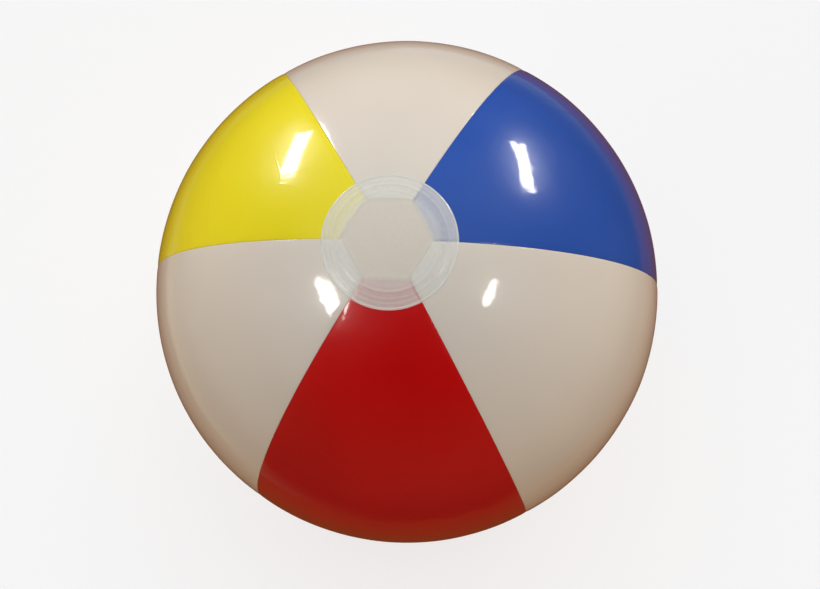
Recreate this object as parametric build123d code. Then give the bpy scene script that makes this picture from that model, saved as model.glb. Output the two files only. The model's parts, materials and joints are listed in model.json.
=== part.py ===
from build123d import *
import math
import os

# An inflated six-panel vinyl ball with two end discs and a push-in valve.
# Frame: origin at the ball's centre, +Z through the upper end disc, and +X through the valve.
# The ball rests on the flat patch of its lower end disc. All sizes are in millimetres.

# Ball
BALL_R = 150.0  # outside of the panels
FILM = 0.25  # wall of the vinyl film
PANEL_COUNT = 6
FIN_DEPTH = 4.0  # height of the turned-in weld seam, from the ball's outside
DISC_R = 32.0  # end disc, measured square to the pole
HOLE_FLAT_R = 18.5  # from the pole to the straight ends of the panels
REST_PATCH_R = 14.0  # where the ball's own weight flattens the lower disc

# Valve: measured along +X from the ball's outside, where inwards is negative
VALVE_HOLE_R = 11.0
FLANGE_R = 17.0
FLANGE_T = 0.8
MOUTH_X = -2.0  # the stem's mouth when the valve is pushed in
STEM_LENGTH = 11.0
STEM_R = 4.75
RIM_R = 6.0
RIM_T = 1.3
PLUG_SEAT_R = 3.2  # upper stretch of the bore, which the plug closes
PLUG_SEAT_DEPTH = 4.2
NOZZLE_R = 3.0  # lower stretch of the bore, which takes a pump's nozzle
FOOT_R = 5.6
FOOT_T = 1.0
WEB_T = 0.6
WEB_FOOT_X = -8.0  # where the web meets the stem
FLAP_R = 4.3
FLAP_T = 0.3
FLAP_TAB = 4.0
PLUG_R = 6.0
PLUG_T = 0.9
PLUG_DOME = 0.5
PLUG_LIP_R = 7.8
PLUG_LIP_WIDTH = 5.0
SPIGOT_DEPTH = 3.6
SPIGOT_TIP_R = 2.4
SPIGOT_FIT = 0.15  # the plug's radial clearance in its seat
HINGE_Y = -7.6  # the strap's fold line, beside the stem
HINGE_DROP = 0.4  # the fold line's depth below the mouth
STRAP_WIDTH = 5.0
STRAP_T = 0.8
STRAP_REACH = 8.5
GAP = 0.05  # between a piece that bends and the piece it is moulded to

PANELS = (
    ("white_valve_panel", 0),
    ("blue_panel", 60),
    ("white_back_panel", 120),
    ("yellow_panel", 180),
    ("white_front_panel", 240),
    ("red_panel", 300),
)

FILM_IN_R = BALL_R - FILM
DISC_OUT_R = BALL_R + FILM
PATCH_Z = -math.sqrt(DISC_OUT_R**2 - REST_PATCH_R**2)
MOUTH = BALL_R + MOUTH_X
STEM_END = MOUTH - STEM_LENGTH
WEB_FOOT = BALL_R + WEB_FOOT_X


def x_cylinder(radius, low, high):
    """A cylinder on the valve's axis, from one place on +X to another."""
    along_x = Location((low, 0, 0), (0, 90, 0))
    align = (Align.CENTER, Align.CENTER, Align.MIN)
    return along_x * Cylinder(radius, high - low, align=align)


def x_block(low, high, y_low, y_high, width):
    """A block beside the valve's axis, centred on z = 0."""
    centre = Location(((low + high) / 2, (y_low + y_high) / 2, 0))
    return centre * Box(high - low, y_high - y_low, width)


def on_sphere(sphere_r, radius, sign=1):
    """The place along an axis where a sphere about the ball's centre is a radius away from it."""
    return sign * math.sqrt(sphere_r**2 - radius**2)


def arc_band(outer_r, inner_r, low_angle, high_angle):
    """A flat band between two arcs about the ball's centre, in the plane of X and Z."""

    def point(radius, angle):
        turn = math.radians(angle)
        return (radius * math.cos(turn), 0, radius * math.sin(turn))

    middle = (low_angle + high_angle) / 2
    return make_face(
        [
            ThreePointArc(*(point(outer_r, angle) for angle in (low_angle, middle, high_angle))),
            Line(point(outer_r, high_angle), point(inner_r, high_angle)),
            ThreePointArc(*(point(inner_r, angle) for angle in (high_angle, middle, low_angle))),
            Line(point(inner_r, low_angle), point(outer_r, low_angle)),
        ]
    )


def panel(longitude):
    """One gore of film with its two turned-in weld strips, cut straight across at both ends."""
    half_angle = 180 / PANEL_COUNT
    end_angle = math.degrees(math.acos((HOLE_FLAT_R - FIN_DEPTH) / BALL_R))
    start = Rotation(0, 0, -half_angle)
    gore = start * revolve(arc_band(BALL_R, FILM_IN_R, -end_angle, end_angle), Axis.Z, 2 * half_angle)
    strip = arc_band(BALL_R - FILM / 2, BALL_R - FIN_DEPTH, -end_angle, end_angle)
    for side in (-1, 1):
        fin = extrude(strip, amount=FILM, dir=(0, -side, 0))
        gore = gore + Rotation(0, 0, side * half_angle) * fin
    past_the_ends = (Align.MIN, Align.CENTER, Align.CENTER)
    keep = Location((HOLE_FLAT_R, 0, 0)) * Box(2 * BALL_R, 4 * BALL_R, 4 * BALL_R, align=past_the_ends)
    gore = gore & keep
    if longitude == 0:
        gore = gore - x_cylinder(VALVE_HOLE_R, BALL_R - 2 * FIN_DEPTH, BALL_R + FIN_DEPTH)
    return Rotation(0, 0, longitude) * gore


def end_disc():
    """The upper round cap of film, which is welded over the panels' ends."""
    edge = math.degrees(math.acos(DISC_R / DISC_OUT_R))
    return revolve(arc_band(DISC_OUT_R, BALL_R, edge, 90), Axis.Z)


def flattened_disc():
    """The lower cap of film, flat in the middle where the ball stands on it."""
    inner_z = PATCH_Z + FILM
    inner_patch_r = math.sqrt(BALL_R**2 - inner_z**2)
    middle_r = (REST_PATCH_R + DISC_R) / 2
    outline = [
        Line((0, 0, PATCH_Z), (REST_PATCH_R, 0, PATCH_Z)),
        ThreePointArc(
            (REST_PATCH_R, 0, PATCH_Z),
            (middle_r, 0, on_sphere(DISC_OUT_R, middle_r, -1)),
            (DISC_R, 0, on_sphere(DISC_OUT_R, DISC_R, -1)),
        ),
        Line((DISC_R, 0, on_sphere(DISC_OUT_R, DISC_R, -1)), (DISC_R, 0, on_sphere(BALL_R, DISC_R, -1))),
        ThreePointArc(
            (DISC_R, 0, on_sphere(BALL_R, DISC_R, -1)),
            (middle_r, 0, on_sphere(BALL_R, middle_r, -1)),
            (inner_patch_r, 0, inner_z),
        ),
        Line((inner_patch_r, 0, inner_z), (0, 0, inner_z)),
        Line((0, 0, inner_z), (0, 0, PATCH_Z)),
    ]
    return revolve(make_face(outline), Axis.Z)


def valve_flange():
    """The ring that is welded to the inside of the film round the valve's hole."""
    inner_r = FILM_IN_R - FLANGE_T
    middle_r = (VALVE_HOLE_R + FLANGE_R) / 2
    corners = {
        (sphere_r, radius): (on_sphere(sphere_r, radius), radius, 0)
        for sphere_r in (FILM_IN_R, inner_r)
        for radius in (VALVE_HOLE_R, middle_r, FLANGE_R)
    }
    outline = [
        ThreePointArc(*(corners[FILM_IN_R, radius] for radius in (VALVE_HOLE_R, middle_r, FLANGE_R))),
        Line(corners[FILM_IN_R, FLANGE_R], corners[inner_r, FLANGE_R]),
        ThreePointArc(*(corners[inner_r, radius] for radius in (FLANGE_R, middle_r, VALVE_HOLE_R))),
        Line(corners[inner_r, VALVE_HOLE_R], corners[FILM_IN_R, VALVE_HOLE_R]),
    ]
    return revolve(make_face(outline), Axis.X)


def turned(points):
    """A solid turned about the valve's axis from a closed outline of (x, radius) points."""
    face = make_face(Polyline(*points, close=True))
    return revolve(face, Axis.X)


def valve_web():
    """The thin funnel that joins the flange to the stem and rolls inside out as the stem slides."""
    top = FILM_IN_R - FLANGE_T * 0.85
    outline = [
        (top, VALVE_HOLE_R - GAP),
        (top - 1.0, VALVE_HOLE_R - 1.6),
        (WEB_FOOT + 0.7, FOOT_R + 1.4),
        (WEB_FOOT, FOOT_R + GAP),
        (WEB_FOOT - WEB_T, FOOT_R + GAP),
        (WEB_FOOT - WEB_T + 0.4, FOOT_R + 1.8),
        (top - 1.0 - WEB_T, VALVE_HOLE_R - 1.3),
        (top - WEB_T, VALVE_HOLE_R - GAP),
    ]
    return turned(outline)


def valve_stem():
    """The tube that the ball is blown up through, with its rim, its foot and a stepped bore."""
    foot_top = WEB_FOOT + FOOT_T / 2
    seat_end = MOUTH - PLUG_SEAT_DEPTH
    outline = [
        (MOUTH, PLUG_SEAT_R),
        (MOUTH, RIM_R),
        (MOUTH - RIM_T, RIM_R),
        (MOUTH - RIM_T, STEM_R),
        (foot_top, STEM_R),
        (foot_top, FOOT_R),
        (foot_top - FOOT_T, FOOT_R),
        (foot_top - FOOT_T, STEM_R),
        (STEM_END, STEM_R),
        (STEM_END, NOZZLE_R),
        (seat_end, NOZZLE_R),
        (seat_end, PLUG_SEAT_R),
    ]
    return turned(outline)


def check_flap():
    """The film disc that closes the stem's inner end, with the tab that it hangs by."""
    disc = x_cylinder(FLAP_R, STEM_END - FLAP_T, STEM_END)
    tab = x_block(STEM_END - FLAP_T, STEM_END, -STEM_R, 0, FLAP_TAB)
    return disc + tab


def plug():
    """The stopper: a domed head with a finger lip, and a tapered spigot in the stem's seat."""
    spigot_r = PLUG_SEAT_R - SPIGOT_FIT
    tip = MOUTH - SPIGOT_DEPTH
    outline = [
        (MOUTH + PLUG_T + PLUG_DOME, 0),
        (MOUTH + PLUG_T + PLUG_DOME, PLUG_R / 2),
        (MOUTH + PLUG_T, PLUG_R),
        (MOUTH, PLUG_R),
        (MOUTH, spigot_r),
        (MOUTH - SPIGOT_DEPTH / 3, spigot_r - 0.05),
        (tip, SPIGOT_TIP_R),
        (tip, 0),
    ]
    lip = x_block(MOUTH + 0.1, MOUTH + PLUG_T, 0, PLUG_LIP_R, PLUG_LIP_WIDTH)
    return turned(outline) + lip


def plug_strap():
    """The short strap that folds between the stem's rim and the plug's head."""
    low = MOUTH - RIM_T + 0.1
    high = MOUTH + PLUG_T - 0.1
    loop = x_block(low, high, -STRAP_REACH, -RIM_R + 1.0, STRAP_WIDTH)
    fold = x_block(low + STRAP_T, high - STRAP_T, -STRAP_REACH + STRAP_T, 0, 2 * STRAP_WIDTH)
    return loop - fold - x_cylinder(RIM_R + GAP, MOUTH - 3, MOUTH + 3)


def build():
    """Every sub-part by its node's name."""
    nodes = {name: panel(longitude) for name, longitude in PANELS}
    nodes["top_end_disc"] = end_disc()
    nodes["bottom_end_disc"] = flattened_disc()
    nodes["valve_flange"] = valve_flange()
    nodes["valve_web"] = valve_web()
    nodes["valve_stem"] = valve_stem()
    nodes["check_flap"] = check_flap()
    nodes["valve_plug"] = plug()
    nodes["plug_strap"] = plug_strap()
    return nodes


os.makedirs("parts", exist_ok=True)
for node, solid in build().items():
    export_step(solid, f"parts/{node}.step")
    print(node, round(solid.volume, 2))
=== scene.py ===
"""Looks for an inflated vinyl beach ball: six welded gores, two frosted end discs and a push-in valve.

The ball's pole is +Z and the valve looks out along +X. All lengths are in metres.
"""

import json
import logging
import math
from dataclasses import dataclass
from enum import Enum
from typing import Callable, Sequence

import bmesh
import bpy
import numpy as np
from mathutils import Matrix, Vector, noise

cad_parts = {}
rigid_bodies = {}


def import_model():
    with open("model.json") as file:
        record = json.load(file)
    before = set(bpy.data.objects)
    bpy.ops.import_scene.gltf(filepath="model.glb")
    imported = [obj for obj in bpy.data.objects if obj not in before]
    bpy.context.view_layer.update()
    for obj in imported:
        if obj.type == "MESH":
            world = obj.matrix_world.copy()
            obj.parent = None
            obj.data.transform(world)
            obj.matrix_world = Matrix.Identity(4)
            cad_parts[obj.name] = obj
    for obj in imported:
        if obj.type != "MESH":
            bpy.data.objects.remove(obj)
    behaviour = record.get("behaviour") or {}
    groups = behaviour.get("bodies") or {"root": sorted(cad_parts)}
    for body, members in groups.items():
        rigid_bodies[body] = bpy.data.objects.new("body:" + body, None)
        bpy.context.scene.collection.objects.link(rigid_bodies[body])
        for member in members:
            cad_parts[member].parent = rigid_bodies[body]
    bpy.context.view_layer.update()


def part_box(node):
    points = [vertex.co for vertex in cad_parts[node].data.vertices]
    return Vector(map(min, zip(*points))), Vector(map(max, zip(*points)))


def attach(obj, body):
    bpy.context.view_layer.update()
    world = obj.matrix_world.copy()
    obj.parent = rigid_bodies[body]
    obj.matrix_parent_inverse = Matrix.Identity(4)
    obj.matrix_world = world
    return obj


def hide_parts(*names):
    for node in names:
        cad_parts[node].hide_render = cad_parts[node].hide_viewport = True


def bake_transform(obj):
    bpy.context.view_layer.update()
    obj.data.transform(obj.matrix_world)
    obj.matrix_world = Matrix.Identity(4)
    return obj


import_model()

MM = 0.001
FILM = 0.25 * MM
ORIGIN = (0.0, 0.0, 0.0)
LOG = logging.getLogger("beach_ball")

Colour = tuple[float, float, float]
Point = tuple[float, float, float]

BLACK: Colour = (0.0, 0.0, 0.0)


class Turn(Enum):
    """The axes that pieces are turned about."""

    POLE = (0.0, 0.0, 1.0)
    VALVE = (1.0, 0.0, 0.0)


class Pick(Enum):
    """What a selection in edit mode picks out."""

    VERTS = "VERT"
    EDGES = "EDGE"
    FACES = "FACE"


# ---------------------------------------------------------------------------------------------
# The bench: edit-mode moves that every piece is shaped with
# ---------------------------------------------------------------------------------------------


class Workpiece:
    """One mesh on the bench, with the moves that shape it by hand."""

    def __init__(self, name: str) -> None:
        """Takes the object that a primitive operator has just added.

        Args:
            name: The finished piece's name.
        """
        self.obj = bpy.context.object
        self.obj.name = name
        self.obj.data.name = name

    @staticmethod
    def clear() -> None:
        """Leaves nothing selected, so that the next operator acts on its own piece only."""
        if bpy.context.object and bpy.context.object.mode == "EDIT":
            bpy.ops.object.mode_set(mode="OBJECT")
        bpy.ops.object.select_all(action="DESELECT")

    def take(self) -> None:
        """Selects this piece alone, in object mode."""
        self.clear()
        bpy.context.view_layer.objects.active = self.obj
        self.obj.select_set(True)

    def edit(self) -> None:
        """Goes into edit mode on this piece alone."""
        self.take()
        bpy.ops.object.mode_set(mode="EDIT")

    def done(self) -> None:
        """Leaves edit mode."""
        bpy.ops.object.mode_set(mode="OBJECT")

    def pick(self, kind: Pick, test: Callable[[Vector], bool]) -> None:
        """Selects the elements whose middle passes a test, and nothing else.

        Args:
            kind: What to select.
            test: Takes a middle point and says whether to select that element.
        """
        bpy.ops.mesh.select_mode(type=kind.value)
        bpy.ops.mesh.select_all(action="DESELECT")
        mesh = bmesh.from_edit_mesh(self.obj.data)
        if kind is Pick.VERTS:
            middles = [(vert, vert.co) for vert in mesh.verts]
        elif kind is Pick.EDGES:
            middles = [(edge, (edge.verts[0].co + edge.verts[1].co) / 2) for edge in mesh.edges]
        else:
            middles = [(face, face.calc_center_median()) for face in mesh.faces]
        for element, middle in middles:
            if test(middle):
                element.select_set(True)
        mesh.select_flush_mode()
        bmesh.update_edit_mesh(self.obj.data)

    @staticmethod
    def pick_all() -> None:
        """Selects the whole piece."""
        bpy.ops.mesh.select_all(action="SELECT")

    def cut(self, point: Point, normal: Point, drop_behind: bool = False) -> None:
        """Cuts the whole piece with a plane.

        Args:
            point: A point on the plane.
            normal: The plane's normal.
            drop_behind: Removes what lies behind the plane.
        """
        self.pick_all()
        bpy.ops.mesh.bisect(plane_co=point, plane_no=normal, clear_inner=drop_behind, threshold=1e-7)

    def extrude(self, shift: Point = ORIGIN, scale: float = 1.0) -> None:
        """Extrudes the selection, then shifts it and scales it about the ball's centre.

        Args:
            shift: How far the new elements move.
            scale: Their size afterwards.
        """
        bpy.ops.mesh.extrude_region_move(TRANSFORM_OT_translate={"value": shift})
        if scale != 1.0:
            bpy.ops.transform.resize(value=(scale, scale, scale), center_override=ORIGIN)

    @staticmethod
    def extrude_edges(shift: Point = ORIGIN) -> None:
        """Extrudes the selected edges by a shift."""
        bpy.ops.mesh.extrude_edges_move(TRANSFORM_OT_translate={"value": shift})

    def merge(self) -> None:
        """Merges what coincides."""
        self.pick_all()
        bpy.ops.mesh.remove_doubles(threshold=1e-6)

    def face_outwards(self) -> None:
        """Points all faces out."""
        self.pick_all()
        bpy.ops.mesh.normals_make_consistent(inside=False)

    def reshape(self, move: Callable[[np.ndarray], np.ndarray]) -> None:
        """Moves every vertex by a formula, as a sculptor's pass over the piece.

        Args:
            move: Takes all the places as rows and gives the new ones.
        """
        self.done()
        mesh = self.obj.data
        places = np.empty(len(mesh.vertices) * 3)
        mesh.vertices.foreach_get("co", places)
        mesh.vertices.foreach_set("co", move(places.reshape(-1, 3)).ravel())
        mesh.update()
        self.edit()

    def modify(self, kind: str, **settings: object) -> None:
        """Adds a modifier and applies it.

        Args:
            kind: The modifier's type.
            settings: Its settings by name.
        """
        self.done()
        modifier = self.obj.modifiers.new(kind.title(), kind)
        for name, value in settings.items():
            setattr(modifier, name, value)
        bpy.ops.object.modifier_apply(modifier=modifier.name)

    def round_edges(self, width: float, segments: int, degrees: float) -> None:
        """Rounds every edge that is sharper than an angle.

        Args:
            width: The rounding's width.
            segments: How many strips it has.
            degrees: The angle.
        """
        limit = math.radians(degrees)
        self.modify("BEVEL", width=width, segments=segments, limit_method="ANGLE", angle_limit=limit)

    def turn_to(self, degrees: float) -> None:
        """Turns the piece about the pole and applies the turn to its mesh.

        Args:
            degrees: The longitude that its +X side ends up at.
        """
        self.obj.rotation_euler = (0.0, 0.0, math.radians(degrees))
        bpy.ops.object.transform_apply()

    def smooth(self, degrees: float = 35.0) -> None:
        """Shades the piece smooth, and keeps edges sharper than an angle.

        Args:
            degrees: The angle.
        """
        self.take()
        bpy.ops.object.shade_smooth_by_angle(angle=math.radians(degrees))

    def dress(
        self, finish: "Finish", slot: str, node: str, body: str | None = None
    ) -> bpy.types.Object:
        """Gives the piece its material, hides the CAD node that it stands for, hangs it on the body
        that it rides on, and reports it.

        Args:
            finish: The material's recipe.
            slot: Not used.
            node: The CAD node that it replaces.
            body: The body that it moves with, or None to leave it unattached.

        Returns:
            The finished object.
        """
        self.obj.data.materials.clear()
        self.obj.data.materials.append(finish.material())
        if body:
            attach(self.obj, body)
        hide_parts(node)
        LOG.info("%s: %d faces", self.obj.name, len(self.obj.data.polygons))
        return self.obj


def dragged_outline(name: str, outline: Sequence[Point]) -> Workpiece:
    """Drags a single point along an outline, and leaves it in edit mode.

    Args:
        name: The piece's name.
        outline: The outline's corners.

    Returns:
        The piece, so far a chain of edges.
    """
    Workpiece.clear()
    bpy.ops.mesh.primitive_plane_add(size=MM, location=ORIGIN)
    piece = Workpiece(name)
    piece.edit()
    bpy.ops.mesh.select_mode(type=Pick.VERTS.value)
    piece.pick_all()
    bpy.ops.mesh.merge(type="CENTER")
    bpy.ops.transform.translate(value=outline[0])
    for here, there in zip(outline, outline[1:]):
        step = tuple(b - a for a, b in zip(here, there))
        bpy.ops.mesh.extrude_vertices_move(TRANSFORM_OT_translate={"value": step})
    return piece


def turned(name: str, outline: Sequence[tuple[float, float]], turn: Turn, steps: int) -> Workpiece:
    """Spins a closed outline into a solid, as on a lathe, and leaves it in edit mode.

    Args:
        name: The piece's name.
        outline: Corners as (place along the axis, distance from it), the first one again at the end.
        turn: The axis.
        steps: How many steps make the full turn.

    Returns:
        The turned piece.
    """
    if turn is Turn.POLE:
        corners = [(radius, 0.0, along) for along, radius in outline]
    else:
        corners = [(along, radius, 0.0) for along, radius in outline]
    piece = dragged_outline(name, corners)
    piece.pick_all()
    bpy.ops.mesh.spin(steps=steps, angle=math.tau, center=ORIGIN, axis=turn.value)
    piece.merge()
    piece.face_outwards()
    return piece


def ease(value: np.ndarray, low: float, high: float) -> np.ndarray:
    """A smooth rise from 0 at low to 1 at high."""
    share = np.clip((value - low) / (high - low), 0.0, 1.0)
    return share * share * (3.0 - 2.0 * share)


def waves(places: np.ndarray, size: float, seed: float) -> np.ndarray:
    """Smooth seeded noise between about -1 and 1.

    Args:
        places: Where to read it, as rows.
        size: The size of its bumps.
        seed: Moves the pattern, so that no two pieces share it.

    Returns:
        One value for each row.
    """
    shifted = places / size + np.array([seed, -2.7 * seed, 1.9 * seed])
    return np.array([noise.noise(Vector(row)) for row in shifted])


# ---------------------------------------------------------------------------------------------
# Finishes
# ---------------------------------------------------------------------------------------------


class Finish:
    """A material recipe. Each kind of finish builds its own nodes."""

    name: str

    def material(self) -> bpy.types.Material:
        """The finish as a material, made once and shared after that."""
        found = bpy.data.materials.get(self.name)
        if found:
            return found
        made = bpy.data.materials.new(self.name)
        made.use_nodes = True
        self.build(Recipe(made))
        return made

    def build(self, recipe: "Recipe") -> None:
        """Fills in the nodes.

        Args:
            recipe: The empty recipe to fill.
        """
        raise NotImplementedError


class Recipe:
    """A short way to lay out shader nodes on Object coordinates."""

    def __init__(self, material: bpy.types.Material) -> None:
        """Starts from the material's own Principled node.

        Args:
            material: The material to fill.
        """
        self.tree = material.node_tree
        self.shader = self.tree.nodes["Principled BSDF"]
        self.place = self.add("TexCoord").outputs["Object"]

    def add(self, kind: str) -> bpy.types.Node:
        """Adds a shader node of a kind."""
        return self.tree.nodes.new(f"ShaderNode{kind}")

    def feed(self, socket: bpy.types.NodeSocket, value: object) -> None:
        """Links a value to a socket, or sets it there if it is plain."""
        if isinstance(value, bpy.types.NodeSocket):
            self.tree.links.new(value, socket)
        else:
            socket.default_value = value

    def set(self, **values: object) -> None:
        """Sets the shader's own sockets, with underscores for spaces."""
        for name, value in values.items():
            self.feed(self.shader.inputs[name.replace("_", " ")], value)

    def noise(self, scale: float, detail: float = 3.0, distortion: float = 0.0) -> bpy.types.NodeSocket:
        """Noise with bumps of about 1 / scale metres."""
        node = self.add("TexNoise")
        self.feed(node.inputs["Vector"], self.place)
        node.inputs["Scale"].default_value = scale
        node.inputs["Detail"].default_value = detail
        node.inputs["Distortion"].default_value = distortion
        return node.outputs["Fac"]

    def math(self, operation: str, first: object, second: object = 0.0) -> bpy.types.NodeSocket:
        """One arithmetic step."""
        node = self.add("Math")
        node.operation = operation
        self.feed(node.inputs[0], first)
        self.feed(node.inputs[1], second)
        return node.outputs[0]

    def span(
        self, value: object, low: float, high: float, out_low: float = 0.0, out_high: float = 1.0
    ) -> bpy.types.NodeSocket:
        """Maps one range to another, clamped."""
        node = self.add("MapRange")
        node.clamp = True
        node.inputs["From Min"].default_value = low
        node.inputs["From Max"].default_value = high
        node.inputs["To Min"].default_value = out_low
        node.inputs["To Max"].default_value = out_high
        self.feed(node.inputs["Value"], value)
        return node.outputs["Result"]

    def blend(self, share: object, first: Colour, second: Colour) -> bpy.types.NodeSocket:
        """Mixes two colours by a share."""
        node = self.add("Mix")
        node.data_type = "RGBA"
        self.feed(node.inputs["Factor"], share)
        node.inputs["A"].default_value = (*first, 1.0)
        node.inputs["B"].default_value = (*second, 1.0)
        return next(out for out in node.outputs if out.type == "RGBA")

    def bump(self, height: object, distance: float, below: object = None) -> bpy.types.NodeSocket:
        """A bump of so many metres from a height of 0 to 1, on top of another bump."""
        node = self.add("Bump")
        node.inputs["Distance"].default_value = distance
        self.feed(node.inputs["Height"], height)
        if below is not None:
            self.feed(node.inputs["Normal"], below)
        return node.outputs["Normal"]

    def split_place(self) -> bpy.types.Node:
        """The place's three coordinates."""
        split = self.add("SeparateXYZ")
        self.feed(split.inputs[0], self.place)
        return split

    def radius(self) -> bpy.types.NodeSocket:
        """The distance from the ball's pole axis."""
        split = self.split_place()
        across = self.math("MULTIPLY", split.outputs["X"], split.outputs["X"])
        along = self.math("MULTIPLY", split.outputs["Y"], split.outputs["Y"])
        return self.math("SQRT", self.math("ADD", across, along))

    def folds(self, scale: float, width: float, patch_scale: float) -> bpy.types.NodeSocket:
        """Faint straight fold lines, as stored film keeps them, in patches only."""
        cells = self.add("TexVoronoi")
        cells.feature = "DISTANCE_TO_EDGE"
        cells.inputs["Scale"].default_value = scale
        self.feed(cells.inputs["Vector"], self.place)
        line = self.span(cells.outputs["Distance"], 0.0, width, 1.0, 0.0)
        patch = self.span(self.noise(patch_scale, 2.0), 0.48, 0.62)
        return self.math("MULTIPLY", line, patch)

    def beyond(self, longitude: float, distance: float, soft: float) -> bpy.types.NodeSocket:
        """1 beyond a plane that stands upright at a distance from the pole, and 0 before it."""
        split = self.split_place()
        turn = math.radians(longitude)
        along = self.math("MULTIPLY", split.outputs["X"], math.cos(turn))
        across = self.math("MULTIPLY", split.outputs["Y"], math.sin(turn))
        reach = self.math("ADD", along, across)
        return self.span(reach, distance - soft, distance + soft)


@dataclass(frozen=True)
class VinylFilm(Finish):
    """Glossy plasticised vinyl: a clear hard gloss over a softer sheen, with faint creases."""

    name: str
    colour: Colour
    shade: Colour
    gloss: float = 0.072
    sheen_roughness: float = 0.285
    sheen_spread: float = 0.05
    peel: float = 0.002 * MM
    ripple: float = 0.09 * MM
    fold: float = 0.05 * MM

    def build(self, recipe: Recipe) -> None:
        """Colour mottled at the size of a hand, fine orange peel, and hairline creases."""
        cloud = recipe.span(recipe.noise(14.0, 2.0), 0.35, 0.65)
        dullest = self.sheen_roughness + self.sheen_spread
        rough = recipe.span(recipe.noise(45.0, 4.0), 0.25, 0.75, self.sheen_roughness, dullest)
        peel = recipe.bump(recipe.noise(900.0, 2.0), self.peel)
        ripple = recipe.bump(recipe.noise(110.0, 2.0, 0.4), self.ripple, peel)
        crease = recipe.bump(recipe.folds(19.0, 0.012, 11.0), self.fold, ripple)
        recipe.set(
            Base_Color=recipe.blend(cloud, self.colour, self.shade),
            Roughness=rough,
            IOR=1.53,
            Specular_IOR_Level=0.3,
            Coat_Weight=0.9,
            Coat_Roughness=self.gloss,
            Coat_IOR=1.5,
            Normal=crease,
            Coat_Normal=crease,
        )


@dataclass(frozen=True)
class FrostedFilm(Finish):
    """Translucent frosted film, welded hard in a ring near its edge, where it is clearer.

    The see-through shares are for one skin of the film, and light passes two.
    Over the hexagonal hole the film is painted lighter and warmer and made less see-through:
    painted light standing in for the ball's lit inside that shows through.
    """

    name: str
    colour: Colour
    # Painted light: the film's colour over the hole, lighter and warmer for the ball's lit inside that
    # shows through
    hole_painted_inner_light: Colour
    edge_radius: float
    hole: "EndHole"
    hole_alpha: float = 0.76
    body_alpha: float = 0.48
    weld_alpha: float = 0.39
    lip_alpha: float = 0.43
    rim_gain: float = 0.22
    weld_start: tuple[float, float] = (0.735, 0.765)
    lip_start: tuple[float, float] = (0.835, 0.855)
    rim_start: tuple[float, float] = (0.965, 0.995)
    frost: tuple[float, float] = (0.34, 0.42)
    grain: float = 0.015

    def build(self, recipe: Recipe) -> None:
        """See-through by zones: over the hole, body, weld ring and lip, with painted light over the
        hole.
        """
        share = recipe.math("DIVIDE", recipe.radius(), self.edge_radius)
        weld = recipe.span(share, *self.weld_start, self.body_alpha, self.weld_alpha)
        lip = recipe.span(share, *self.lip_start, 0.0, self.lip_alpha - self.weld_alpha)
        rim = recipe.span(share, *self.rim_start, 0.0, self.rim_gain)
        veil = recipe.math("ADD", recipe.math("ADD", weld, lip), rim)
        past = [recipe.beyond(lon, flat, 1.1 * MM) for lon, flat in self.hole.flats()]
        on_panel = past[0]
        for other in past[1:]:
            on_panel = recipe.math("MAXIMUM", on_panel, other)
        over_hole = recipe.math("SUBTRACT", 1.0, on_panel)
        # Painted light: over the hole the film is less see-through, so its painted inner glow hides the
        # unlit inside
        cover = recipe.math("MULTIPLY", over_hole, self.hole_alpha - self.body_alpha)
        grain = recipe.span(recipe.noise(500.0, 3.0), 0.3, 0.7, -self.grain, self.grain)
        frost = recipe.span(recipe.noise(260.0, 3.0), 0.3, 0.7, *self.frost)
        peel = recipe.bump(recipe.noise(700.0, 3.0), 0.006 * MM)
        ripple = recipe.bump(recipe.noise(150.0, 2.0), 0.08 * MM, peel)
        recipe.set(
            # Over the hole the base colour is the film's colour with painted light from the ball's lit
            # inside
            Base_Color=recipe.blend(over_hole, self.colour, self.hole_painted_inner_light),
            Roughness=frost,
            IOR=1.5,
            Coat_Weight=0.8,
            Coat_Roughness=0.07,
            Alpha=recipe.math("ADD", recipe.math("ADD", veil, cover), grain),
            Normal=ripple,
            Coat_Normal=ripple,
        )


@dataclass(frozen=True)
class MouldedVinyl(Finish):
    """Soft moulded vinyl of the valve: satin, a little cloudy, with a matt grain from the mould."""

    name: str
    colour: Colour
    shade: Colour
    roughness: float = 0.29

    def build(self, recipe: Recipe) -> None:
        """Cloudy colour and a fine mould grain."""
        cloud = recipe.span(recipe.noise(220.0, 3.0), 0.35, 0.65)
        rough = recipe.span(recipe.noise(900.0, 3.0), 0.3, 0.7, self.roughness, self.roughness + 0.1)
        grain = recipe.bump(recipe.noise(3200.0, 3.0), 0.01 * MM)
        recipe.set(
            Base_Color=recipe.blend(cloud, self.colour, self.shade),
            Roughness=rough,
            IOR=1.5,
            Coat_Weight=0.3,
            Coat_Roughness=0.15,
            Normal=grain,
        )


@dataclass(frozen=True)
class ClearFilm(Finish):
    """The check flap's thin clear film."""

    name: str
    colour: Colour

    def build(self, recipe: Recipe) -> None:
        """Mostly see-through, with a soft ripple."""
        ripple = recipe.bump(recipe.noise(500.0, 2.0), 0.03 * MM)
        recipe.set(Base_Color=(*self.colour, 1.0), Roughness=0.15, IOR=1.5, Alpha=0.6, Normal=ripple)


# ---------------------------------------------------------------------------------------------
# Sub-assemblies
# ---------------------------------------------------------------------------------------------


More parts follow.
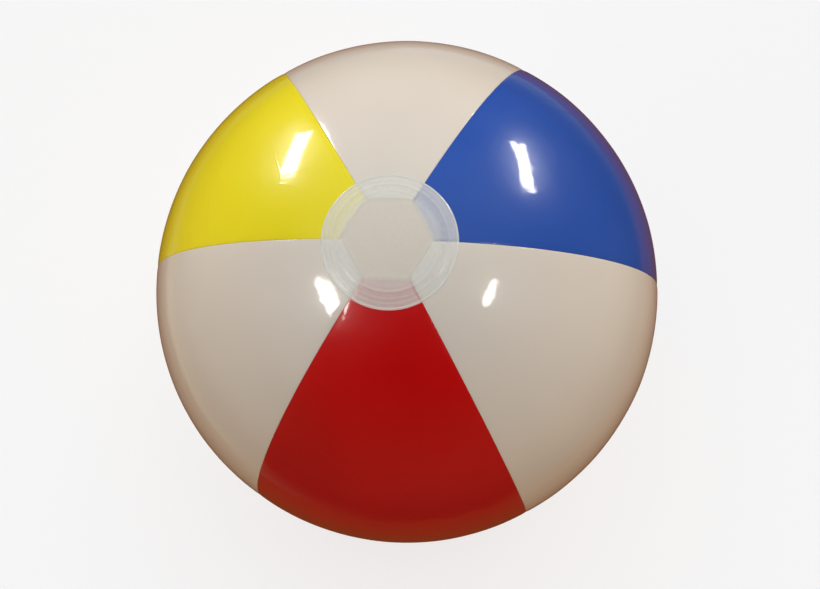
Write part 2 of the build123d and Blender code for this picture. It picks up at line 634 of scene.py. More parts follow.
@dataclass(frozen=True)
class EndHole:
    """The six-sided hole that the panels' straight ends leave at each pole.

    The ends are cut by hand, so each stands at its own distance from the pole.
    """

    cuts: tuple[tuple[str, float, float], ...] = (
        ("white_valve_panel", 0.0, 17.2 * MM),
        ("blue_panel", 60.0, 18.2 * MM),
        ("white_back_panel", 120.0, 19.8 * MM),
        ("yellow_panel", 180.0, 20.2 * MM),
        ("white_front_panel", 240.0, 18.8 * MM),
        ("red_panel", 300.0, 17.2 * MM),
    )

    def flats(self) -> list[tuple[float, float]]:
        """Each side as (longitude in degrees, distance from the pole)."""
        return [(longitude, distance) for _, longitude, distance in self.cuts]

    def flat_of(self, node: str) -> float:
        """How far one panel's straight end is from the pole."""
        return next(distance for name, _, distance in self.cuts if name == node)


@dataclass
class Gores:
    """The six panels: gores of film, creased at the seams and turned in to the weld strips.

    Every seam may run a little to one side of its place, as hand-fed weld runs do.
    """

    radius: float
    hole: EndHole
    film: float = FILM
    fin: float = 4.0 * MM
    half_angle: float = 30.0
    seam_drift: tuple[float, ...] = (0.8, 1.4, 1.65, -1.2, -2.4, -0.25)
    rows: int = 480
    columns: int = 44
    seam_columns: tuple[float, ...] = (1.0 * MM, 1.8 * MM, 2.7 * MM, 5.4 * MM, 9.0 * MM)
    corner: float = 0.2 * MM
    crease_depth: float = 0.26 * MM
    crease_width: float = 1.4 * MM
    pucker: float = 0.14 * MM
    wide_dent: float = 0.22 * MM
    small_dent: float = 0.05 * MM
    pillow: float = 0.25 * MM
    disc_radius: float = 32.0 * MM
    valve_hole: float = 11.0 * MM
    valve_weld: float = 17.0 * MM

    def edges(self, longitude: float) -> tuple[float, float]:
        """Where a panel starts and ends, in radians from its nominal middle."""
        index = round(longitude / 60)
        start = -self.half_angle + self.seam_drift[index - 1]
        end = self.half_angle + self.seam_drift[index]
        return math.radians(start), math.radians(end)

    def blank(self, name: str, edges: tuple[float, float], flat: float) -> Workpiece:
        """A gore of film on the ball's sphere, round +X, cut straight at both ends.

        Args:
            name: The piece's name.
            edges: Where it starts and ends, in radians.
            flat: How far the straight ends are from the pole.

        Returns:
            The gore as a single open skin, in edit mode.
        """
        Workpiece.clear()
        start, end = edges
        bpy.ops.mesh.primitive_circle_add(
            vertices=self.rows,
            radius=self.radius,
            fill_type="NOTHING",
            rotation=(math.pi / 2, 0, start),
        )
        bpy.ops.object.transform_apply()
        piece = Workpiece(name)
        piece.edit()
        piece.cut(ORIGIN, (math.cos(start), math.sin(start), 0.0), drop_behind=True)
        piece.pick_all()
        bpy.ops.mesh.spin(steps=self.columns, angle=start - end, center=ORIGIN, axis=Turn.POLE.value)
        piece.merge()
        for distance in self.seam_columns:
            for turn in (start + distance / self.radius, end - distance / self.radius):
                piece.cut(ORIGIN, (-math.sin(turn), math.cos(turn), 0.0))
        piece.cut((flat, 0, 0), (1, 0, 0), drop_behind=True)
        piece.face_outwards()
        return piece

    def turn_in_seams(self, piece: Workpiece, edges: tuple[float, float]) -> None:
        """Folds both long edges in to make the weld strips, with a small round fold.

        Args:
            piece: The gore in edit mode.
            edges: Where it starts and ends, in radians.
        """

        def on_seam(p: Vector) -> bool:
            """Whether a point lies in either seam's plane."""
            return min(abs(math.atan2(p.y, p.x) - edge) for edge in edges) < 1e-5

        piece.pick(Pick.EDGES, on_seam)
        first = 1.2 * MM
        piece.extrude(scale=1 - first / self.radius)
        piece.extrude(scale=1 - (self.fin - first) / (self.radius - first))
        at_fold = self.radius - 0.01 * MM
        piece.pick(Pick.EDGES, lambda p: on_seam(p) and p.length > at_fold)
        bpy.ops.mesh.bevel(offset=self.corner, segments=3, affect="EDGES")

    def weld_in_valve(self, piece: Workpiece) -> None:
        """Opens the round hole for the valve, with the rings that the flange's weld leaves.

        Args:
            piece: The gore in edit mode, before its seams are turned in.
        """

        def across(p: Vector) -> float:
            """How far a point is from the valve's axis."""
            return math.hypot(p.y, p.z)

        outside = self.valve_weld + 3.5 * MM
        piece.pick(Pick.FACES, lambda p: across(p) < outside + 3 * MM)
        bpy.ops.mesh.subdivide(number_cuts=1)
        piece.pick(Pick.FACES, lambda p: across(p) < outside)
        bpy.ops.mesh.delete(type="FACE")
        piece.pick(Pick.VERTS, lambda p: across(p) < outside - 2.5 * MM)
        bpy.ops.mesh.delete(type="VERT")
        bpy.ops.mesh.select_mode(type=Pick.EDGES.value)
        bpy.ops.mesh.select_all(action="DESELECT")
        mesh = bmesh.from_edit_mesh(piece.obj.data)
        for edge in mesh.edges:
            middle = (edge.verts[0].co + edge.verts[1].co) / 2
            edge.select_set(edge.is_boundary and across(middle) < outside + 3 * MM)
        bmesh.update_edit_mesh(piece.obj.data)
        weld = self.valve_weld
        rings = (
            (weld + 1.5 * MM, 0.0),
            (weld + 0.6 * MM, 0.03 * MM),
            (weld, 0.14 * MM),
            (weld - 0.5 * MM, 0.18 * MM),
            (weld - 1.4 * MM, 0.18 * MM),
            (weld - 1.8 * MM, 0.04 * MM),
            (weld - 2.4 * MM, 0.04 * MM),
            (weld - 2.8 * MM, 0.16 * MM),
            (self.valve_hole + 1.2 * MM, 0.16 * MM),
            (self.valve_hole + 0.5 * MM, 0.12 * MM),
            (self.valve_hole, -0.05 * MM),
        )
        for ring_radius, rise in rings:
            piece.extrude_edges()
            mesh = bmesh.from_edit_mesh(piece.obj.data)
            for vert in (v for v in mesh.verts if v.select):
                turn = math.atan2(vert.co.z, vert.co.y)
                y, z = ring_radius * math.cos(turn), ring_radius * math.sin(turn)
                x = math.sqrt((self.radius + rise) ** 2 - ring_radius**2)
                vert.co = Vector((x, y, z))
            bmesh.update_edit_mesh(piece.obj.data)

    def inflate(self, piece: Workpiece, edges: tuple[float, float], seed: float, valve: bool) -> None:
        """Gives the film its creases, puckers and soft dents, all along the ball's radius.

        Args:
            piece: The gore in edit mode.
            edges: Where it starts and ends, in radians.
            seed: This panel's own pattern.
            valve: Keeps the film true round the valve.
        """

        def swell(places: np.ndarray) -> np.ndarray:
            """Lifts each place along its own radius."""
            length = np.linalg.norm(places, axis=1)
            level = np.hypot(places[:, 0], places[:, 1])
            turn = np.arctan2(places[:, 1], places[:, 0])
            from_start, from_end = turn - edges[0], edges[1] - turn
            side = np.where(from_start < from_end, -1.0, 1.0)
            gap = level * np.clip(np.minimum(from_start, from_end), 0, None)
            along = np.arctan2(places[:, 2], level) * self.radius
            open_film = ease(level, self.disc_radius + 1 * MM, self.disc_radius + 14 * MM)
            crease = -self.crease_depth * np.exp(-gap / self.crease_width) * (0.35 + 0.65 * open_film)
            line = np.column_stack([along, side * 40 * MM, gap * 0.25])
            ripple = waves(line, 5 * MM, seed) + 0.6 * waves(line, 11 * MM, seed + 5)
            near_seam = np.exp(-gap / (7 * MM)) * (1 - np.exp(-gap / (1.2 * MM)))
            dents = self.wide_dent * waves(places, 60 * MM, seed + 9)
            dents += self.small_dent * waves(places, 17 * MM, seed + 3)
            pillow = self.pillow * (1 - np.exp(-gap / (25 * MM)))
            away = np.ones(len(places))
            if valve:
                off_axis = np.hypot(places[:, 1], places[:, 2]) + np.where(places[:, 0] > 0, 0, 1)
                away = ease(off_axis, self.valve_weld + 2 * MM, self.valve_weld + 16 * MM)
            quiet = open_film * (1 - np.exp(-gap / (4 * MM))) * away
            lift = crease + self.pucker * ripple * near_seam * open_film + (dents + pillow) * quiet
            return places * (1 + lift / length)[:, None]

        piece.reshape(swell)

    def make(
        self, node: str, longitude: float, finish: Finish, slot: str, valve: bool = False
    ) -> bpy.types.Object:
        """Builds one panel.

        Args:
            node: The CAD node that it stands for.
            longitude: Where its middle is, in degrees.
            finish: Its film.
            slot: Its material slot.
            valve: Whether the valve is welded into it.

        Returns:
            The finished panel.
        """
        edges = self.edges(longitude)
        piece = self.blank(f"{node}_film", edges, self.hole.flat_of(node))
        if valve:
            self.weld_in_valve(piece)
        self.turn_in_seams(piece, edges)
        self.inflate(piece, edges, seed=1.3 + longitude / 17.0, valve=valve)
        piece.modify("SOLIDIFY", thickness=self.film, offset=-1.0)
        piece.turn_to(longitude)
        piece.smooth()
        return piece.dress(finish, slot, node, "ball")


@dataclass
class EndDisc:
    """A round cap of frosted film, welded over the panels' ends in rings."""

    ball_radius: float
    hole: EndHole
    seam_drift: tuple[float, ...]
    radius: float = 31.3 * MM
    film: float = FILM
    seam_dip: float = 0.13 * MM
    hole_step: float = 0.08 * MM
    lift: float = 0.03 * MM
    ridges: tuple[tuple[float, float, float], ...] = (
        (0.68, 0.05 * MM, 0.70 * MM),
        (0.75, 0.15 * MM, 0.70 * MM),
        (0.80, 0.03 * MM, 0.50 * MM),
        (0.85, 0.19 * MM, 0.70 * MM),
        (0.92, 0.09 * MM, 0.60 * MM),
        (0.985, 0.24 * MM, 0.40 * MM),
    )

    def height(self, radius: float) -> float:
        """The height of the cap's outside at a distance from the pole, ridges included."""
        rise = sum(
            tall * math.exp(-(((radius - at * self.radius) / wide) ** 2))
            for at, tall, wide in self.ridges
        )
        return math.sqrt((self.ball_radius + self.film) ** 2 - radius**2) + rise

    def outline(self, rings: int) -> list[tuple[float, float]]:
        """The cap's cross-section, from the pole out over the rounded edge and back inside."""
        plain = 0.66 * self.radius
        radii = [plain * k / 26 for k in range(26)]
        radii += [plain + (self.radius - plain) * k / rings for k in range(rings + 1)]
        outside = [(self.height(radius), radius) for radius in radii]
        inner = self.ball_radius + self.lift
        inside = [self.radius * k / 32 for k in range(32, -1, -1)]
        under = [(math.sqrt(inner**2 - radius**2), radius) for radius in inside]
        high, low = outside[-1][0], under[0][0]
        edge = [
            (high - 0.08 * MM, self.radius + 0.1 * MM),
            ((high + low) / 2, self.radius + 0.14 * MM),
            (low + 0.03 * MM, self.radius + 0.08 * MM),
        ]
        return outside + edge + under + outside[:1]

    def settle(self, piece: Workpiece) -> None:
        """Lets the cap sink into the six seams and over the hexagonal hole beneath it.

        Args:
            piece: The cap in edit mode.
        """

        def sink(places: np.ndarray) -> np.ndarray:
            """Lowers each place towards what lies beneath it."""
            level = np.hypot(places[:, 0], places[:, 1])
            turn = np.degrees(np.arctan2(places[:, 1], places[:, 0]))
            over_panels = np.zeros(len(places))
            dip = np.zeros(len(places))
            for (longitude, flat), drift in zip(self.hole.flats(), self.seam_drift):
                reach = level * np.cos(np.radians(turn - longitude))
                over_panels = np.maximum(over_panels, ease(reach, flat - 1.5 * MM, flat - 0.4 * MM))
                off_seam = np.abs((turn - longitude - 30 - drift + 180) % 360 - 180)
                dip -= self.seam_dip * np.exp(-((level * np.radians(off_seam) / (0.9 * MM)) ** 2))
            dip *= over_panels
            slack = 0.04 * MM * waves(places, 6 * MM, 4.2) * ease(level, 0, 6 * MM)
            step = -self.hole_step * (1 - over_panels)
            return places + np.column_stack([0 * level, 0 * level, dip + step + slack * over_panels])

        piece.reshape(sink)

    def flatten(self, piece: Workpiece, floor: float) -> None:
        """Turns the cap over to the lower pole and presses its middle flat.

        Args:
            piece: The cap in edit mode.
            floor: The height of the flat patch.
        """

        def press(places: np.ndarray) -> np.ndarray:
            """Turns each place over, and stops it at the floor."""
            pressed = places * np.array([1.0, 1.0, -1.0])
            pressed[:, 2] = np.maximum(pressed[:, 2], floor)
            return pressed

        piece.reshape(press)
        piece.face_outwards()

    def make(self, node: str, finish: Finish, floor: float | None = None) -> bpy.types.Object:
        """Builds one end disc.

        Args:
            node: The CAD node that it stands for.
            finish: Its film.
            floor: The flat patch's height, on the lower disc only.

        Returns:
            The finished disc.
        """
        lower = floor is not None
        rings, steps = (48, 180) if lower else (90, 360)
        piece = turned(f"{node}_film", self.outline(rings), Turn.POLE, steps)
        self.settle(piece)
        if lower:
            self.flatten(piece, floor)
        piece.done()
        piece.smooth(60)
        piece.obj.visible_shadow = False
        return piece.dress(finish, "frosted_film", node, "ball")


@dataclass
class PushInValve:
    """The push-in valve: flange, rolling web, stem, check flap, plug and strap."""

    skin: float
    mouth: float = -2.0 * MM
    stem_length: float = 11.0 * MM
    stem_radius: float = 4.75 * MM
    rim_radius: float = 6.0 * MM
    rim: float = 1.3 * MM
    seat_radius: float = 3.2 * MM
    seat_depth: float = 4.2 * MM
    bore_radius: float = 3.0 * MM
    foot_radius: float = 5.6 * MM
    web_foot: float = -8.0 * MM
    web: float = 0.6 * MM
    hole: float = 11.0 * MM
    flange_radius: float = 17.0 * MM
    flange: float = 0.8 * MM
    film: float = FILM
    plug_radius: float = 6.0 * MM
    plug: float = 0.9 * MM
    dome: float = 0.5 * MM
    lip_reach: float = 7.8 * MM
    spigot: float = 3.6 * MM
    spigot_tip: float = 2.4 * MM
    hinge: float = -7.6 * MM
    strap_width: float = 5.0 * MM
    strap: float = 0.8 * MM
    flap_radius: float = 4.3 * MM
    flap: float = 0.3 * MM
    steps: int = 96

    def at(self, depth: float) -> float:
        """The place on +X at a depth from the ball's outside, where inwards is negative."""
        return self.skin + depth

    def make_flange(self, finish: Finish) -> bpy.types.Object:
        """The ring welded inside the film, with its edges rounded."""
        outer, inner = self.skin - self.film, self.skin - self.film - self.flange
        radii = [self.hole + (self.flange_radius - self.hole) * k / 8 for k in range(9)]
        top = [(math.sqrt(outer**2 - r**2), r) for r in radii]
        under = [(math.sqrt(inner**2 - r**2), r) for r in reversed(radii)]
        piece = turned("valve_flange_ring", top + under + top[:1], Turn.VALVE, self.steps)
        piece.round_edges(0.15 * MM, 2, 50)
        piece.smooth()
        return piece.dress(finish, "valve_vinyl", "valve_flange", "ball")

    def make_web(self, finish: Finish) -> bpy.types.Object:
        """The thin funnel between flange and stem, which rolls inside out as the stem slides."""
        top = self.at(-self.film - 0.25 * MM)
        foot = self.at(self.web_foot)
        count = 20

        def skin(share: float, lift: float) -> tuple[float, float]:
            """A point on the funnel's S-shaped section, lifted off it by a distance."""
            swing = share * share * (3 - 2 * share)
            inwards = self.hole - self.foot_radius + 0.3 * MM
            radius = self.hole - 0.05 * MM - inwards * (0.35 * share + 0.65 * swing)
            return (top + (foot - top) * swing**0.9 + lift, max(radius, self.stem_radius + 0.02 * MM))

        over = [skin(k / count, 0.0) for k in range(count + 1)]
        beneath = [skin(k / count, -self.web) for k in range(count, -1, -1)]
        piece = turned("valve_web_funnel", over + beneath + over[:1], Turn.VALVE, self.steps)
        piece.done()
        piece.smooth(50)
        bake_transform(piece.obj)
        return piece.dress(finish, "valve_vinyl", "valve_web")

    def make_stem(self, finish: Finish) -> bpy.types.Object:
        """The tube with its rim, foot and stepped bore, all edges rounded."""
        mouth = self.at(self.mouth)
        end = mouth - self.stem_length
        foot = self.at(self.web_foot) + 0.5 * MM
        seat = mouth - self.seat_depth
        outline = [
            (mouth, self.seat_radius),
            (mouth, self.rim_radius),
            (mouth - self.rim, self.rim_radius),
            (mouth - self.rim - 0.5 * MM, self.stem_radius),
            (foot, self.stem_radius),
            (foot, self.foot_radius),
            (foot - 1.0 * MM, self.foot_radius),
            (foot - 1.0 * MM, self.stem_radius),
            (end, self.stem_radius),
            (end, self.bore_radius),
            (seat - 0.2 * MM, self.bore_radius),
            (seat, self.seat_radius),
            (mouth, self.seat_radius),
        ]
        piece = turned("valve_stem_tube", outline, Turn.VALVE, self.steps)
        piece.round_edges(0.25 * MM, 3, 35)
        piece.smooth(40)
        return piece.dress(finish, "valve_vinyl", "valve_stem", "valve_stem")

    def make_flap(self, finish: Finish) -> bpy.types.Object:
        """The film disc over the stem's inner end, with the tab that it hangs by."""
        end = self.at(self.mouth) - self.stem_length
        Workpiece.clear()
        bpy.ops.mesh.primitive_circle_add(
            vertices=64,
            radius=self.flap_radius,
            fill_type="NGON",
            location=(end - self.flap, 0, 0),
            rotation=(0, math.pi / 2, 0),
        )
        bpy.ops.object.transform_apply()
        piece = Workpiece("check_flap_film")
        piece.edit()
        tab = 2.0 * MM
        piece.pick(Pick.EDGES, lambda p: p.y < 0 and abs(p.z) < tab)
        piece.extrude_edges()
        bpy.ops.transform.resize(value=(1, 0, 1), center_override=(0, -self.stem_radius + 0.02 * MM, 0))
        piece.face_outwards()
        for ring in (0.25, 0.2, 0.15):
            piece.pick(Pick.FACES, lambda p: math.hypot(p.y, p.z) < 0.2 * MM)
            bpy.ops.mesh.inset(thickness=ring * self.flap_radius)
        piece.pick(Pick.FACES, lambda p: math.hypot(p.y, p.z) < 0.5 * MM)
        bpy.ops.transform.translate(value=(-0.12 * MM, 0, 0))
        piece.modify("SOLIDIFY", thickness=self.flap * 0.9, offset=0.0)
        self.hold_between(piece, end - self.flap - 0.2 * MM, end - 0.01 * MM)
        piece.smooth(50)
        return piece.dress(finish, "flap_film", "check_flap", "check_flap")

    @staticmethod
    def hold_between(piece: Workpiece, low: float, high: float) -> None:
        """Keeps a piece's mesh between two places on +X.

        Args:
            piece: The piece, in object mode.
            low: The lower place.
            high: The upper place.
        """
        mesh = piece.obj.data
        shift = high - max(vert.co.x for vert in mesh.vertices)
        for vert in mesh.vertices:
            vert.co.x = max(vert.co.x + shift, low)

    def make_plug(self, finish: Finish) -> bpy.types.Object:
        """The stopper: domed head with a ring on top, bulb-ended spigot and a finger lip."""
        mouth = self.at(self.mouth)
        head = mouth + self.plug
        crown = head + self.dome
        spigot = self.seat_radius - 0.15 * MM
        tip = mouth - self.spigot
        outline = [
            (crown - 0.35 * MM, 0.0),
            (crown - 0.35 * MM, 2.3 * MM),
            (crown, 2.8 * MM),
            (crown, 3.4 * MM),
            (head + 0.25 * MM, 4.9 * MM),
            (head, self.plug_radius - 0.1 * MM),
            (mouth + 0.1 * MM, self.plug_radius),
            (mouth + 0.02 * MM, self.plug_radius - 0.3 * MM),
            (mouth + 0.02 * MM, spigot),
            (mouth - 1.2 * MM, spigot - 0.05 * MM),
            (tip + 0.6 * MM, self.spigot_tip + 0.28 * MM),
            (tip, self.spigot_tip - 0.3 * MM),
            (tip, 0.0),
        ]
        piece = turned("valve_plug_stopper", outline + outline[:1], Turn.VALVE, self.steps)
        rim = self.plug_radius - 0.35 * MM
        piece.pick(
            Pick.FACES,
            lambda p: p.x > mouth + 0.05 * MM
            and p.x < head
            and math.hypot(p.y, p.z) > rim
            and p.y > 0
            and abs(p.z) < 2.3 * MM,
        )
        reach = self.lip_reach - self.plug_radius
        piece.extrude((0, reach * 0.6, 0))
        piece.extrude((0, reach * 0.4, 0))
        bpy.ops.transform.resize(value=(0.7, 1, 0.75), center_override=(mouth + 0.45 * MM, 0, 0))
        piece.round_edges(0.18 * MM, 3, 38)
        piece.smooth(40)
        return piece.dress(finish, "valve_vinyl", "valve_plug", "valve_plug")

    def make_strap(self, finish: Finish) -> bpy.types.Object:
        """The short strap, folded on itself between the stem's rim and the plug's head."""
        mouth = self.at(self.mouth)
        low = mouth - self.rim / 2
        high = mouth + self.plug / 2
        middle, bend = (low + high) / 2, (high - low) / 2
        fold = self.hinge + 0.1 * MM
        arc = [
            (middle - bend * math.cos(math.pi * k / 10), fold - bend * math.sin(math.pi * k / 10), 0.0)
            for k in range(11)
        ]
        inner = -self.rim_radius + 0.45 * MM
        outer = -6.8 * MM
        path = [(low, inner, 0.0), (low, outer, 0.0)] + arc + [(high, outer, 0.0), (high, inner, 0.0)]
        piece = dragged_outline("plug_strap_loop", path)
        piece.pick_all()
        bpy.ops.transform.translate(value=(0, 0, -self.strap_width / 2))
        for _ in range(6):
            piece.extrude_edges((0, 0, self.strap_width / 6))
        piece.face_outwards()
        piece.modify("SOLIDIFY", thickness=self.strap * 0.85, offset=0.0)
        piece.round_edges(0.15 * MM, 2, 50)
        piece.smooth(45)
        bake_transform(piece.obj)
        return piece.dress(finish, "valve_vinyl", "plug_strap")


# ---------------------------------------------------------------------------------------------
# Studio
# ---------------------------------------------------------------------------------------------


@dataclass(frozen=True)
class Lamp:
    """A soft lamp, placed by the streak of gloss that it should leave on the ball.

    The streak runs from one spot to another, each given as (right, up) from the middle of the
    ball as the camera sees it, in ball radii.
    """

    name: str
    spots: tuple[tuple[float, float], tuple[float, float]]
    distance: float
    width: float
    brightness: float
    shape: str = "ELLIPSE"
    colour: Colour = (1.0, 0.97, 0.92)
    gloss_only: bool = False


@dataclass
class Studio:
    """Pale floor, pale surround, soft lamps and the camera."""

    ball_radius: float
    floor_height: float
    distance_in_radii: float = 3.5
    pole_right: float = -0.0535
    pole_up: float = 0.155
    first_seam: float = 58.6
    lens: float = 36.9
    shift: tuple[float, float] = (0.0039, -0.0032)
    floor_reach: float = 12.0
    floor_colour: Colour = (0.3, 0.3, 0.3)
    floor_light: Colour = (1.0, 1.0, 0.995)
    floor_strength: float = 0.695
    dome_light: Colour = (0.92, 0.92, 0.92)
    wall_light: Colour = (0.88, 0.63, 0.40)
    ceiling_light: Colour = (0.02, 0.02, 0.02)
    wall_fade: tuple[float, float] = (0.1, 0.75)
    floor_glow: Colour = (1.2, 0.84, 0.57)
    mirror_glow: Colour = (0.15, 0.045, 0.012)
    windows: tuple[tuple[str, float, float, Colour], ...] = (
        ("window_card_left", -0.25, -0.02, (1.05, 0.92, 0.60)),
        ("window_card_top", 0.02, 0.25, (0.80, 0.86, 0.92)),
    )
    window_radius: float = 0.50
    lamps: tuple[Lamp, ...] = (
        Lamp("lamp_far_left", ((-0.405, 0.635), (-0.475, 0.460)), 0.95, 0.120, 26.0, "RECTANGLE"),
        Lamp("lamp_far_right", ((0.440, 0.595), (0.485, 0.405)), 0.95, 0.095, 27.0, "RECTANGLE"),
        Lamp("lamp_left", ((-0.345, 0.065), (-0.265, -0.085)), 1.3, 0.15, 21.0, gloss_only=True),
        Lamp("lamp_right", ((0.350, 0.060), (0.305, -0.055)), 1.3, 0.10, 22.0),
    )
    suns: tuple[tuple[str, Point, float, float, Colour], ...] = (
        ("sky_softbox", (-0.08, 0.55, 0.83), 1.95, 75.0, (0.79, 0.87, 1.0)),
        ("fill_softbox", (0.45, 0.50, 0.74), 0.30, 45.0, (1.0, 0.98, 0.95)),
        ("left_softbox", (-0.90, -0.25, 0.20), 0.36, 60.0, (1.0, 0.92, 0.82)),
    )

    def camera_frame(self) -> Matrix:
        """The camera's axes as columns, in the ball's frame."""
        pole = Vector((self.pole_right, self.pole_up, 0))
        pole.z = math.sqrt(1 - pole.length_squared)
        across = Vector((0, 1, 0)).cross(pole).normalized()
        upward = pole.cross(across)
        seam = math.radians(self.first_seam)
        ball_y = across * math.cos(seam) + upward * math.sin(seam)
        ball_x = ball_y.cross(pole)
        return Matrix((ball_x, ball_y, pole))

    def add_camera(self) -> None:
        """Stands the camera where it sees the upper disc almost straight on."""
        axes = self.camera_frame()
        data = bpy.data.cameras.new("camera")
        data.lens = self.lens
        data.shift_x, data.shift_y = self.shift
        camera = bpy.data.objects.new("camera", data)
        bpy.context.scene.collection.objects.link(camera)
        turn = axes.to_4x4()
        turn.translation = axes.col[2] * self.distance_in_radii * self.ball_radius
        camera.matrix_world = turn
        bpy.context.scene.camera = camera

    def mirrored_from(self, spot: tuple[float, float], distance: float) -> Vector:
        """The point whose reflection the camera sees at a spot on the ball.

        Args:
            spot: The spot as (right, up) in ball radii, as the camera sees it.
            distance: How far the point is from the ball's surface.

        Returns:
            The point in the ball's frame.
        """
        eye = Vector((0, 0, self.distance_in_radii))
        spread = 1 / math.sqrt(self.distance_in_radii**2 - 1)
        look = Vector((spot[0] * spread, spot[1] * spread, -1)).normalized()
        middle = eye.dot(look)
        hit = eye + look * (-middle - math.sqrt(middle**2 - self.distance_in_radii**2 + 1))
        away = look - 2 * look.dot(hit) * hit
        return self.camera_frame() @ (hit * self.ball_radius + away * distance)

    @staticmethod
    def add_light(name: str, kind: str, energy: float, colour: Colour) -> bpy.types.Object:
        """Adds a light to the scene.

        Args:
            name: Its name.
            kind: Its type.
            energy: Its strength.
            colour: Its colour.

        Returns:
            The light.
        """
        data = bpy.data.lights.new(name, kind)
        data.energy = energy
        data.color = colour
        light = bpy.data.objects.new(name, data)
        bpy.context.scene.collection.objects.link(light)
        return light

    def add_lamp(self, lamp: Lamp, lit: bpy.types.Collection) -> None:
        """Hangs one lamp where its streak of gloss falls right.

        Args:
            lamp: Its streak, size and brightness.
            lit: All that it lights.
        """
        first, last = (self.mirrored_from(spot, lamp.distance) for spot in lamp.spots)
        middle = (first + last) / 2
        long_way = (first - last).normalized()
        back = (middle - long_way * middle.dot(long_way)).normalized()
        side = long_way.cross(back)
        height = (first - last).length
        fill = math.pi / 4 if lamp.shape == "ELLIPSE" else 1.0
        energy = lamp.brightness * math.pi * fill * lamp.width * height
        light = self.add_light(lamp.name, "AREA", energy, lamp.colour)
        light.data.shape = lamp.shape
        light.data.size, light.data.size_y = lamp.width, height
        turn = Matrix((side, long_way, back)).transposed().to_4x4()
        turn.translation = middle
        light.matrix_world = turn
        light.visible_camera = False
        light.visible_diffuse = not lamp.gloss_only
        light.light_linking.receiver_collection = lit

    def add_sun(self, name: str, back: Point, energy: float, spread: float, colour: Colour) -> None:
        """Adds a wide far light that lights the ball and the floor alike.

        Args:
            name: Its name.
            back: Where it stands, as (right, up, back) in the camera's frame.
            energy: Its strength.
            spread: Its angular size in degrees.
            colour: Its colour.
        """
        light = self.add_light(name, "SUN", energy, colour)
        light.data.angle = math.radians(spread)
        light.rotation_mode = "QUATERNION"
        light.rotation_quaternion = (self.camera_frame() @ Vector(back)).to_track_quat("Z", "Y")
        light.visible_glossy = False

    def add_surround(self) -> None:
        """Light from all round: warm from the walls and from below, and next to none from above."""
        world = bpy.data.worlds.new("surround")
        world.cycles_visibility.glossy = False
        world.use_nodes = True
        tree = world.node_tree
        place = tree.nodes.new("ShaderNodeTexCoord")
        split = tree.nodes.new("ShaderNodeSeparateXYZ")
        tree.links.new(place.outputs["Generated"], split.inputs[0])
        rise = tree.nodes.new("ShaderNodeMapRange")
        rise.inputs["From Min"].default_value, rise.inputs["From Max"].default_value = self.wall_fade
        tree.links.new(split.outputs["Z"], rise.inputs["Value"])
        mix = tree.nodes.new("ShaderNodeMix")
        mix.data_type = "RGBA"
        mix.inputs["A"].default_value = (*self.wall_light, 1.0)
        mix.inputs["B"].default_value = (*self.ceiling_light, 1.0)
        tree.links.new(rise.outputs["Result"], mix.inputs["Factor"])
        colour = next(out for out in mix.outputs if out.type == "RGBA")
        tree.links.new(colour, tree.nodes["Background"].inputs["Color"])
        bpy.context.scene.world = world

    @staticmethod
    def stage_piece(
        name: str, light: Colour, strength: float = 1.0, colour: Colour = BLACK, roughness: float = 1.0
    ) -> bpy.types.Object:
        """Takes the primitive that was just added as a piece of the stage that shines by itself.

        Args:
            name: Its name.
            light: The colour that it shines in.
            strength: How strongly it shines.
            colour: Its own colour.
            roughness: Its roughness.

        Returns:
            The stage piece.
        """
        piece = bpy.context.object
        piece.name = name
        made = bpy.data.materials.new(name)
        made.use_nodes = True
        shader = made.node_tree.nodes["Principled BSDF"]
        shader.inputs["Base Color"].default_value = (*colour, 1.0)
        shader.inputs["Roughness"].default_value = roughness
        shader.inputs["Emission Color"].default_value = (*light, 1.0)
        shader.inputs["Emission Strength"].default_value = strength
        piece.data.materials.append(made)
        return piece

    def add_card(
        self, name: str, light: Colour, radius: float, depth: float, aside: Point = ORIGIN
    ) -> bpy.types.Object:
        """Lays a shining card just under the floor, out of the camera's sight.

        Args:
            name: Its name.
            light: The colour that it shines in.
            radius: Its radius.
            depth: How far below the floor it lies.
            aside: Where it lies, of which the height isn't used.

        Returns:
            The card.
        """
        Workpiece.clear()
        under = (aside[0], aside[1], self.floor_height - depth)
        bpy.ops.mesh.primitive_circle_add(vertices=64, radius=1.0, fill_type="NGON", location=under)
        bpy.context.object.scale = (radius, radius, radius)
        card = self.stage_piece(name, light)
        card.visible_camera = card.visible_transmission = card.visible_shadow = False
        return card

    def add_stage(self) -> None:
        """The pale floor, the pale surround behind it, and the cards that the ball alone sees."""
        Workpiece.clear()
        below = (0, 0, self.floor_height)
        bpy.ops.mesh.primitive_circle_add(
            vertices=96, radius=self.floor_reach, fill_type="NGON", location=below
        )
        floor = self.stage_piece("floor", self.floor_light, self.floor_strength, self.floor_colour, 0.9)
        floor.visible_glossy = floor.visible_diffuse = False
        bpy.ops.mesh.primitive_uv_sphere_add(segments=48, ring_count=24, radius=self.floor_reach)
        dome = self.stage_piece("surround_dome", self.dome_light)
        dome.visible_diffuse = dome.visible_glossy = False
        dome.visible_transmission = dome.visible_shadow = False
        self.add_card("mirror_card", self.mirror_glow, 0.42, 1 * MM).visible_diffuse = False
        for window in self.windows:
            self.add_window_card(*window)
        self.add_card("bounce_card", self.floor_glow, 1.5, 2 * MM).visible_glossy = False

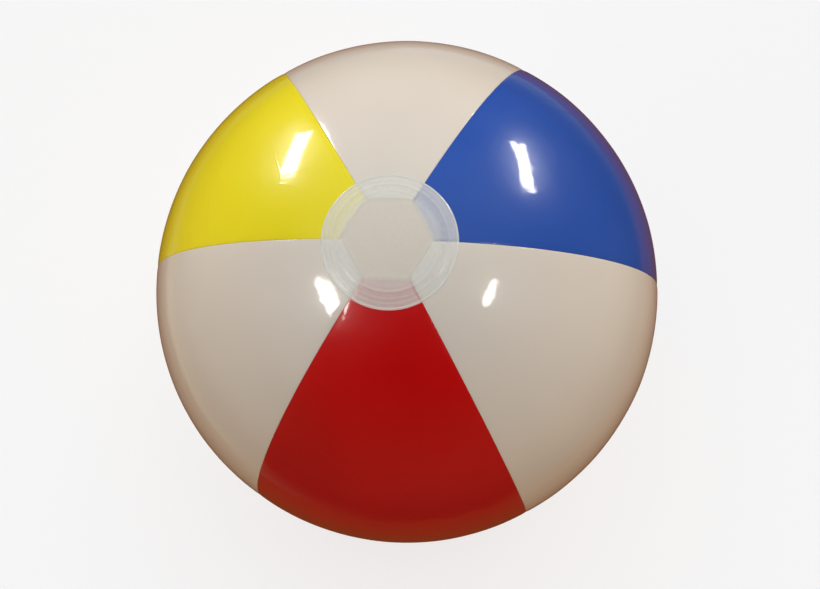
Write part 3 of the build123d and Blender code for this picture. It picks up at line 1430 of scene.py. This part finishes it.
    def add_window_card(self, name: str, right: float, upward: float, light: Colour) -> None:
        """A pale card, brightest in its middle, that only the gloss near the ball's edge shows.

        Args:
            name: Its name.
            right: Where it lies to the camera's right of the ball, in metres.
            upward: Where it lies upwards of the ball as the camera sees it, in metres.
            light: How bright its middle is, as a colour.
        """
        aside = self.camera_frame() @ Vector((right, upward, 0.0))
        card = self.add_card(name, light, self.window_radius, 1.5 * MM, aside)
        card.visible_diffuse = False
        tree = card.data.materials[0].node_tree
        place = tree.nodes.new("ShaderNodeTexCoord")
        fade = tree.nodes.new("ShaderNodeTexGradient")
        fade.gradient_type = "QUADRATIC_SPHERE"
        tree.links.new(place.outputs["Object"], fade.inputs["Vector"])
        tree.links.new(fade.outputs["Fac"], tree.nodes["Principled BSDF"].inputs["Emission Strength"])

    def build(self) -> None:
        """Sets the whole stage."""
        bpy.context.scene.view_settings.view_transform = "Standard"
        lit = bpy.data.collections.new("lit_by_lamps")
        for obj in bpy.context.scene.objects:
            if obj.type == "MESH":
                lit.objects.link(obj)
        self.add_camera()
        for lamp in self.lamps:
            self.add_lamp(lamp, lit)
        for sun in self.suns:
            self.add_sun(*sun)
        self.add_surround()
        self.add_stage()
        LOG.info("studio: %d lamps", len(self.lamps))


def main() -> None:
    """Builds the ball piece by piece, then the studio."""
    logging.basicConfig(level=logging.INFO, format="%(name)s %(message)s")
    white = VinylFilm("vinyl_white_film", (0.65, 0.60, 0.525), (0.62, 0.57, 0.495))
    blue = VinylFilm("vinyl_blue_film", (0.021, 0.080, 0.375), (0.017, 0.072, 0.35))
    yellow = VinylFilm("vinyl_yellow_film", (0.77, 0.67, 0.014), (0.73, 0.63, 0.010))
    red = VinylFilm("vinyl_red_film", (0.51, 0.001, 0.0015), (0.46, 0.001, 0.001))
    moulded = MouldedVinyl("valve_moulded_vinyl", (0.72, 0.70, 0.64), (0.66, 0.64, 0.58))
    flap_film = ClearFilm("flap_clear_film", (0.75, 0.78, 0.78))

    ball_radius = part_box("top_end_disc")[1][2] - FILM
    floor_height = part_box("bottom_end_disc")[0][2]
    hole = EndHole()
    # The second disc colour is the film over the hole, with painted light from the ball's lit inside
    disc_colours = (0.655, 0.665, 0.615), (0.66, 0.615, 0.53)
    frosted = FrostedFilm("frosted_disc_film", *disc_colours, EndDisc.radius, hole)

    gores = Gores(ball_radius, hole)
    gores.make("white_valve_panel", 0, white, "vinyl_white", valve=True)
    gores.make("blue_panel", 60, blue, "vinyl_blue")
    gores.make("white_back_panel", 120, white, "vinyl_white")
    gores.make("yellow_panel", 180, yellow, "vinyl_yellow")
    gores.make("white_front_panel", 240, white, "vinyl_white")
    gores.make("red_panel", 300, red, "vinyl_red")

    disc = EndDisc(ball_radius, hole, gores.seam_drift)
    disc.make("top_end_disc", frosted)
    disc.make("bottom_end_disc", frosted, floor=floor_height)

    valve = PushInValve(skin=ball_radius)
    valve.make_flange(moulded)
    valve.make_web(moulded)
    valve.make_stem(moulded)
    valve.make_flap(flap_film)
    valve.make_plug(moulded)
    valve.make_strap(moulded)

    Studio(ball_radius, floor_height).build()


if __name__ == "__main__":
    main()
